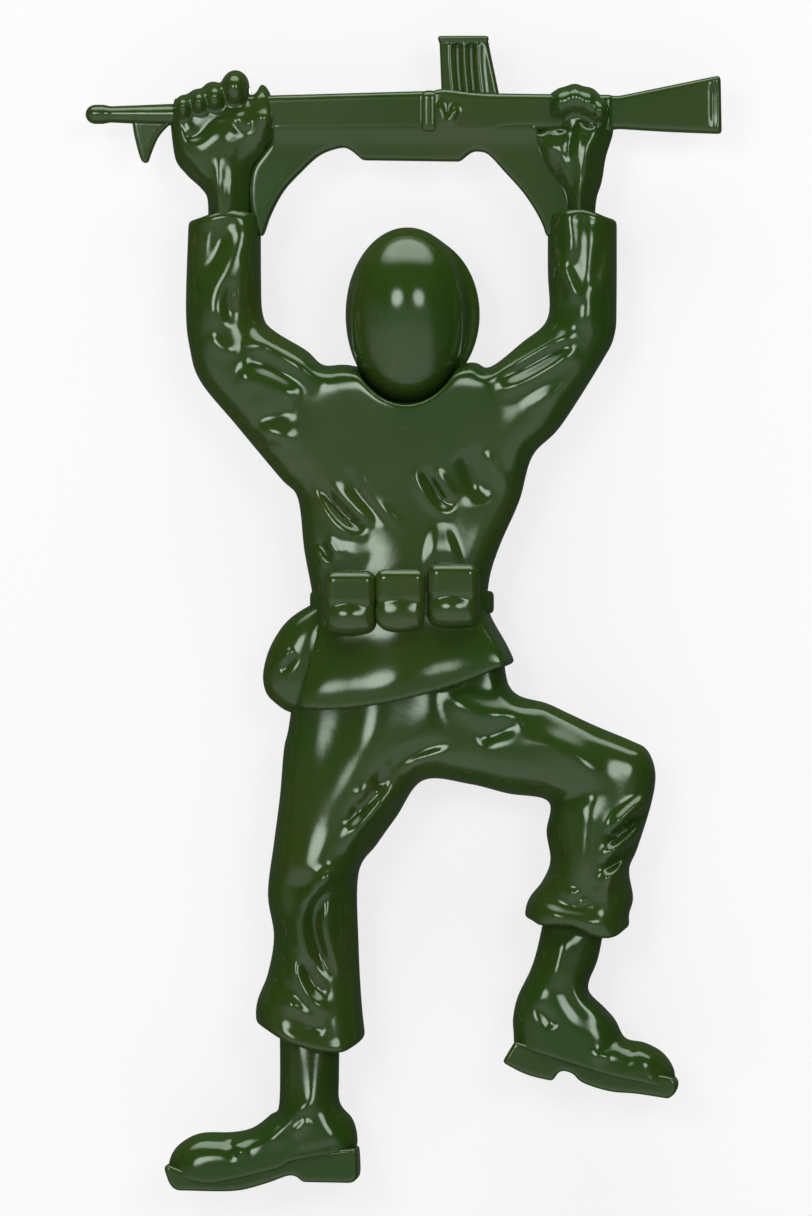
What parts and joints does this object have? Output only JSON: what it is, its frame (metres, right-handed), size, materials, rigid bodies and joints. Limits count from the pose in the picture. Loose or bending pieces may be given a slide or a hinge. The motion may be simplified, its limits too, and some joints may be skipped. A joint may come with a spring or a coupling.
{
  "type": "soldier figure bottle opener",
  "caption": "Toy soldier figure, cast as a two-sided relief, that holds a rifle overhead; the web under the rifle lifts crown caps.",
  "frame": {"origin": "bottom centre of the figure's box: under the middle of the rifle's length, level with the sole of the standing boot", "axes": "+Z from the standing boot up to the rifle, +X from the muzzle to the butt, +Y through the thickness towards the side with the face; Y = 0 is the parting plane"},
  "size_m": [0.0764, 0.013, 0.14],
  "materials": {
    "green_enamel": "gloss"
  },
  "bodies": {
    "root": {"belt": "green_enamel", "belt_buckle": "green_enamel", "boot_left": "green_enamel", "boot_right": "green_enamel", "canteen": "green_enamel", "chin_strap": "green_enamel", "front_pouch_left": "green_enamel", "front_pouch_right": "green_enamel", "hand_left": "green_enamel", "hand_right": "green_enamel", "head": "green_enamel", "helmet": "green_enamel", "jacket": "green_enamel", "opener_web": "green_enamel", "rear_pouch_centre": "green_enamel", "rear_pouch_left": "green_enamel", "rear_pouch_right": "green_enamel", "rifle_barrel": "green_enamel", "rifle_front_sight": "green_enamel", "rifle_handguard": "green_enamel", "rifle_magazine": "green_enamel", "rifle_receiver": "green_enamel", "rifle_ring": "green_enamel", "rifle_stock": "green_enamel", "sole_left": "green_enamel", "sole_right": "green_enamel", "trousers": "green_enamel"}
  },
  "joints": []
}
